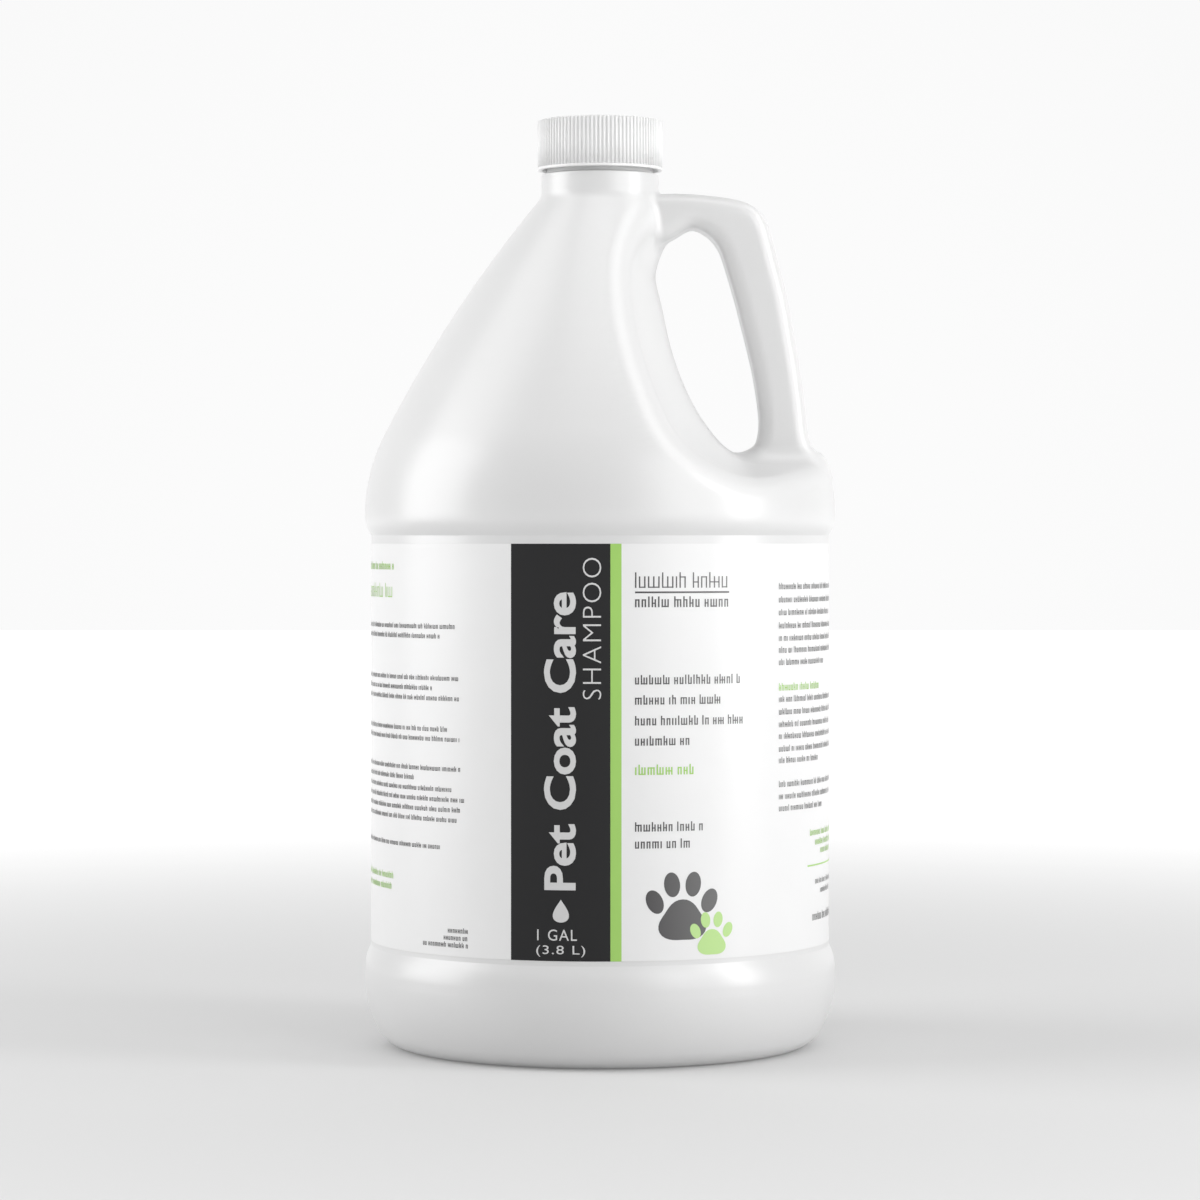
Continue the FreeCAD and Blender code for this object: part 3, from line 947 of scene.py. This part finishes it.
def blown_plastic(colour):
    """White blow-moulded polyethylene: satin, faintly uneven, with the mould's parting line round it."""
    f = Finish("blown_polyethylene", IOR=1.54, Specular_IOR_Level=0.9)
    x, y, z = f.node("ShaderNodeSeparateXYZ", {}, {0: f.place})
    uneven = f.noise(28.0, 3.0)
    grain = f.noise(1500.0, 3.0)
    line = 1 - f.spread(f.node("ShaderNodeMath", {"operation": "ABSOLUTE"}, {0: y})[0], 0.00008, 0.00035)
    shaded = tuple(c * 0.965 for c in colour)
    waves = f.bump(uneven, 0.00012)
    fine = f.bump(grain, 0.000012, waves)
    return f.feed(Base_Color=f.mix(uneven, shaded, colour), Roughness=0.24 + 0.08 * uneven + 0.05 * grain,
                  Normal=f.bump(line, 0.00012, fine))


def moulded_plastic(colour):
    """The cap's harder, glossier plastic."""
    f = Finish("moulded_polypropylene", IOR=1.5)
    cloud, grain = f.noise(90.0), f.noise(2500.0)
    shaded = tuple(c * 0.97 for c in colour)
    return f.feed(Base_Color=f.mix(cloud, shaded, colour), Roughness=0.24 + 0.12 * cloud,
                  Normal=f.bump(grain, 0.000008))


def foam(colour):
    """Closed-cell foam with small pits, darkened towards the bottom of each pit with painted shade."""
    f = Finish("liner_foam", IOR=1.45)
    cells = f.node("ShaderNodeTexVoronoi", {}, {"Vector": f.place, "Scale": 1600.0}, "Distance")
    # painted shade: the cells that sink the pits also darken the colour at their bottoms
    shaded = tuple(c * 0.85 for c in colour)
    return f.feed(Base_Color=f.mix(cells, shaded, colour), Roughness=0.7 + 0.2 * cells,
                  Normal=f.bump(cells, 0.0001))


# The dark print carries a painted reflection: the sheen of the light on the handle's side is painted into the ink's
# colour.
PAINTED_SHEEN_SPAN = (0.008, 0.046)  # where the painted reflection starts to lighten the dark ink along the front, and where it stops
PAINTED_SHEEN_GREY = (0.15, 0.15, 0.15)


def film(name, colour, painted_sheen=None, gloss=0.5):
    """Printed film: smooth and satin. An ink with a painted sheen gets lighter along the front towards the handle, a
    painted reflection of the light on that side.
    """
    f = Finish(name, IOR=1.5, Specular_IOR_Level=gloss)
    haze, grain = f.noise(60.0), f.noise(1800.0)
    if painted_sheen:
        # painted reflection: the ink lightens along the front towards the handle, where the light's sheen falls
        along = f.node("ShaderNodeSeparateXYZ", {}, {0: f.place})[0]
        tint = f.mix(f.spread(along, *PAINTED_SHEEN_SPAN), colour, painted_sheen)
    else:
        tint = f.mix(haze, tuple(c * 0.97 for c in colour), colour)
    return f.feed(Base_Color=tint, Roughness=0.26 + 0.08 * haze + 0.04 * grain,
                  Normal=f.bump(grain, 0.000006))


# The add-on -----------------------------------------------------------------------------------------


def colour_prop(name, description, default):
    """A colour in the sidebar."""
    return bpy.props.FloatVectorProperty(name=name, description=description, default=default, subtype="COLOR",
                                         size=3, min=0, max=1)


class JugColours(bpy.types.PropertyGroup):
    """Colours of the jug's plastics and inks."""

    bottle: colour_prop("Bottle", "Blown plastic of the bottle", (0.69, 0.69, 0.69))
    cap: colour_prop("Cap", "Moulded plastic of the cap", (0.80, 0.80, 0.80))
    liner: colour_prop("Liner", "Foam in the cap", (0.78, 0.78, 0.75))
    paper: colour_prop("Label", "Unprinted film of the label", (0.79, 0.79, 0.79))
    band: colour_prop("Band", "Dark band down the label", (0.013, 0.013, 0.014))
    stripe: colour_prop("Stripe", "Green stripe and green print", (0.34, 0.60, 0.13))
    pale: colour_prop("Pale print", "The smaller paw print", (0.47, 0.70, 0.27))
    silver: colour_prop("Light print", "Print on the dark band", (0.62, 0.62, 0.62))
    grey: colour_prop("Dark print", "Print on the unprinted film", (0.055, 0.052, 0.055))


class JugSizes(bpy.types.PropertyGroup):
    """Sizes of the parts that can be changed without changing the jug's fit."""

    cap_ribs: bpy.props.IntProperty(name="Cap ribs", description="Ribs round the cap", default=96, min=12, max=180)
    stripe_width: bpy.props.FloatProperty(name="Stripe width", description="Width of the label's green stripe",
                                          default=0.00347, min=0.001, max=0.007, unit="LENGTH", precision=5)
    paw_size: bpy.props.FloatProperty(name="Paw size", description="Size of the larger paw print", default=0.023,
                                      min=0.01, max=0.026, unit="LENGTH", precision=5)
    rib_radius: bpy.props.FloatProperty(name="Rib radius", description="Radius of one rib", default=0.00046,
                                        min=0.0002, max=0.0005, unit="LENGTH", precision=5)


class JUG_OT_bottle(bpy.types.Operator):
    """Make the blown bottle"""

    bl_idname = "jug.bottle"
    bl_label = "Bottle"

    def execute(self, context):
        mesh = bottle_mesh()
        mesh.materials.append(blown_plastic(tuple(context.scene.jug_colours.bottle)))
        piece("bottle_shell", mesh, "bottle", ["bottle"])
        return {"FINISHED"}


class JUG_OT_cap(bpy.types.Operator):
    """Make the ribbed cap and the liner in it"""

    bl_idname = "jug.cap"
    bl_label = "Cap and liner"

    def execute(self, context):
        colours, sizes = context.scene.jug_colours, context.scene.jug_sizes
        plastic = moulded_plastic(tuple(colours.cap))
        blank = put("cap_blank", cap_mesh())
        low, high = bottom_of("cap"), top_of("cap")
        mesh = run_tree(blank, rib_tree(), {
            "Ribs": sizes.cap_ribs, "Wall radius": CAP_WALL_R * MM, "Rib radius": sizes.rib_radius,
            "Low": (low + RIBS_FROM_FOOT) * MM, "High": (high - RIBS_FROM_TOP) * MM, "Plastic": plastic})
        bpy.data.objects.remove(blank)
        piece("screw_cap", mesh, "cap", ["cap"])
        disc = liner_mesh()
        disc.materials.append(foam(tuple(colours.liner)))
        piece("foam_liner", disc, "liner", ["cap_liner"])
        return {"FINISHED"}


class JUG_OT_label(bpy.types.Operator):
    """Make the film label and its print"""

    bl_idname = "jug.label"
    bl_label = "Label"

    def execute(self, context):
        colours, sizes = context.scene.jug_colours, context.scene.jug_sizes
        # the dark grey ink gets a painted reflection that lightens it towards the handle
        inks = [film("label_white", tuple(colours.paper)), film("label_black", tuple(colours.band), gloss=0.3),
                film("label_green", tuple(colours.stripe)), film("label_silver", tuple(colours.silver)),
                film("label_grey", tuple(colours.grey), PAINTED_SHEEN_GREY), film("label_pale", tuple(colours.pale))]
        sleeve, marks = label_mesh(sizes.stripe_width / MM), print_mesh(inks, sizes.paw_size / MM)
        for ink in inks:
            sleeve.materials.append(ink)
            marks.materials.append(ink)
        piece("label_sleeve", sleeve, "bottle", ["wrap_label"])
        piece("label_print", marks, "bottle")
        return {"FINISHED"}


# lights: name, watts, turn from the front towards the handle, distance out, height, and their width and height
LIGHTS = [("left_softbox", 11.2, -88, 1.3, 0.45, (0.95, 1.3)), ("right_softbox", 9.0, 71, 1.3, 0.45, (0.42, 1.3)),
          ("front_softbox", 4.6, 38, 1.3, 0.45, (0.65, 1.3)), ("back_strip", 0.4, 140, 1.3, 0.45, (0.5, 1.3)),
          ("top_left", 3.0, -90, 0.9, 1.4, (0.8, 0.8)), ("top_right", 3.0, 90, 0.9, 1.4, (0.8, 0.8)),
          ("top_middle", 2.6, 0, 0.35, 1.6, (0.8, 0.8))]
AIM = Vector((0, 0, 0.17))
# surroundings: axis, side of it, and how bright they are there
WALLS = [(0, 1.0, 0.4), (0, -1.0, 0.4), (1, 1.0, 0.97), (1, -1.0, 0.47), (2, 1.0, 0.46)]
FLOOR_HALF = 6.0
CAMERA_AT, CAMERA_LENS, CAMERA_SHIFT = (0.0, -1.3158, 0.16657), 119.13, -0.05


def studio_walls():
    """Pale surroundings, brightest behind the jug and dimmer to its sides, so that its roundness shows."""
    world = bpy.data.worlds.new("studio")
    world.use_nodes = True
    tree = world.node_tree
    way = add(tree, "ShaderNodeSeparateXYZ", {0: add(tree, "ShaderNodeTexCoord", {})["Generated"]})
    total = None
    for axis, side, strength in WALLS:
        facing = maths(tree, "MAXIMUM", maths(tree, "MULTIPLY", way[axis], side), 0.0)
        share = maths(tree, "MULTIPLY", maths(tree, "MULTIPLY", facing, facing), strength)
        total = maths(tree, "ADD", share, total) if total else share
    tree.links.new(total, tree.nodes["Background"].inputs["Strength"])
    tree.nodes["Background"].inputs["Color"].default_value = (1, 1, 1, 1)
    return world


def add_floor():
    """A pale floor that glows more with distance, so that it meets the surroundings softly."""
    mesh = bpy.data.meshes.new("floor")
    corners = [(-1, -1), (1, -1), (1, 1), (-1, 1)]
    mesh.from_pydata([(FLOOR_HALF * x, FLOOR_HALF * y, 0) for x, y in corners], [], [(0, 1, 2, 3)])
    surface = Finish("floor_pale", Roughness=0.9, Base_Color=(0.56, 0.56, 0.56, 1), Emission_Strength=1.0)
    away = surface.node("ShaderNodeVectorMath", {"operation": "LENGTH"}, {0: surface.place}, "Value")
    glow = surface.mix(surface.spread(away, 0.15, 1.5), (0.10, 0.10, 0.10), (0.8, 0.8, 0.8))
    mesh.materials.append(surface.feed(Emission_Color=glow))
    put("floor", mesh)


def add_lights():
    """The softboxes round the jug, all aimed at its middle."""
    for name, power, turn, out, up, size in LIGHTS:
        light = bpy.data.lights.new(name, "AREA")
        light.energy, light.shape = power, "RECTANGLE"
        light.size, light.size_y = size
        lamp = put(name, light)
        way = math.radians(turn)
        lamp.location = (out * math.sin(way), -out * math.cos(way), up)
        lamp.rotation_euler = (AIM - lamp.location).to_track_quat("-Z", "Y").to_euler()


def add_camera(scene):
    """The camera in front of the jug, level, with the jug a little below the middle of its view."""
    camera = bpy.data.cameras.new("camera")
    camera.lens, camera.sensor_width, camera.shift_y = CAMERA_LENS, 36.0, CAMERA_SHIFT
    view = put("camera", camera)
    view.location, view.rotation_euler = CAMERA_AT, (math.pi / 2, 0, 0)
    scene.camera = view


class JUG_OT_stage(bpy.types.Operator):
    """Set up the floor, the lights and the camera"""

    bl_idname = "jug.stage"
    bl_label = "Stage"

    def execute(self, context):
        add_floor()
        context.scene.world = studio_walls()
        add_lights()
        add_camera(context.scene)
        context.scene.view_settings.view_transform = "Standard"
        return {"FINISHED"}


OPERATORS = (JUG_OT_bottle, JUG_OT_cap, JUG_OT_label, JUG_OT_stage)


class JUG_PT_panel(bpy.types.Panel):
    """The jug's tools in the sidebar"""

    bl_idname = "JUG_PT_panel"
    bl_label = "Shampoo jug"
    bl_space_type = "VIEW_3D"
    bl_region_type = "UI"
    bl_category = "Jug"

    def draw(self, context):
        for group in (context.scene.jug_sizes, context.scene.jug_colours):
            for key in group.__annotations__:
                self.layout.prop(group, key)
        for operator in OPERATORS:
            self.layout.operator(operator.bl_idname)


CLASSES = (JugColours, JugSizes, *OPERATORS, JUG_PT_panel)


def register():
    for each in CLASSES:
        bpy.utils.register_class(each)
    bpy.types.Scene.jug_colours = bpy.props.PointerProperty(type=JugColours)
    bpy.types.Scene.jug_sizes = bpy.props.PointerProperty(type=JugSizes)


def unregister():
    del bpy.types.Scene.jug_sizes
    del bpy.types.Scene.jug_colours
    for each in reversed(CLASSES):
        bpy.utils.unregister_class(each)


def main():
    register()
    for operator in OPERATORS:
        getattr(bpy.ops.jug, operator.bl_idname.split(".")[1])()


if __name__ == "__main__":
    main()
